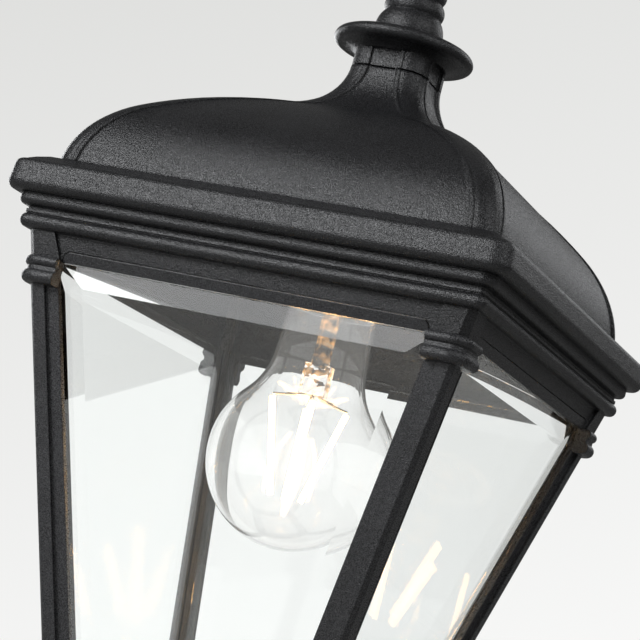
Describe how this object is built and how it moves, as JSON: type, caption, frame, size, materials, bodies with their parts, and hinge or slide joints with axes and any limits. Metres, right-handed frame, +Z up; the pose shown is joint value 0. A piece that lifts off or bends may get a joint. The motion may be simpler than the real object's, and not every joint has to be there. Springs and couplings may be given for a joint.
{
  "type": "hanging lantern",
  "caption": "Tapered square hanging lantern with an ogee roof, moulded cornice, corner posts with ringed capitals, bevelled clear panes and a globe lamp.",
  "frame": {"origin": "centre of the hanging eye, on the lantern's axis", "axes": "+Z up along the lantern's axis; -Y towards the front pane, with the eye's bore along Y; +X to the right"},
  "size_m": [0.1748, 0.1748, 0.3367],
  "materials": {
    "black_casting": "fine sand-textured black powder coat on cast aluminium",
    "black_screws": "black oxide steel, satin",
    "clear_glass": "clear polished sheet with bevelled edges",
    "bulb_glass": "clear blown glass",
    "porcelain": "white glazed porcelain",
    "brass": "plain stamped brass",
    "plated_steel": "zinc-plated steel",
    "plated_cap": "nickel-plated rolled shell",
    "cap_insulator": "black vitrite glass",
    "filament": "yellow phosphor strip, lit"
  },
  "bodies": {
    "root": {"hanging_loop": "black_casting", "turned_stem": "black_casting", "top_cap": "black_casting", "roof": "black_casting", "top_frame": "black_casting", "bottom_frame": "black_casting", "post_back_right": "black_casting", "post_back_left": "black_casting", "post_front_left": "black_casting", "post_front_right": "black_casting", "glazing_bar_front": "black_casting", "glazing_bar_right": "black_casting", "glazing_bar_back": "black_casting", "glazing_bar_left": "black_casting", "pane_front": "clear_glass", "pane_right": "clear_glass", "pane_back": "clear_glass", "pane_left": "clear_glass", "threaded_tube": "plated_steel", "lock_nut": "plated_steel", "washer": "plated_steel", "roof_screws": "black_screws", "base_screws": "black_screws", "lampholder_body": "porcelain", "lampholder_shell": "brass", "lampholder_contact": "brass", "bulb_glass": "bulb_glass", "bulb_cap": "plated_cap", "bulb_insulator": "cap_insulator", "bulb_contact": "brass", "bulb_stem": "bulb_glass", "bulb_filaments": "filament", "bulb_wires": "plated_steel"}
  },
  "joints": []
}
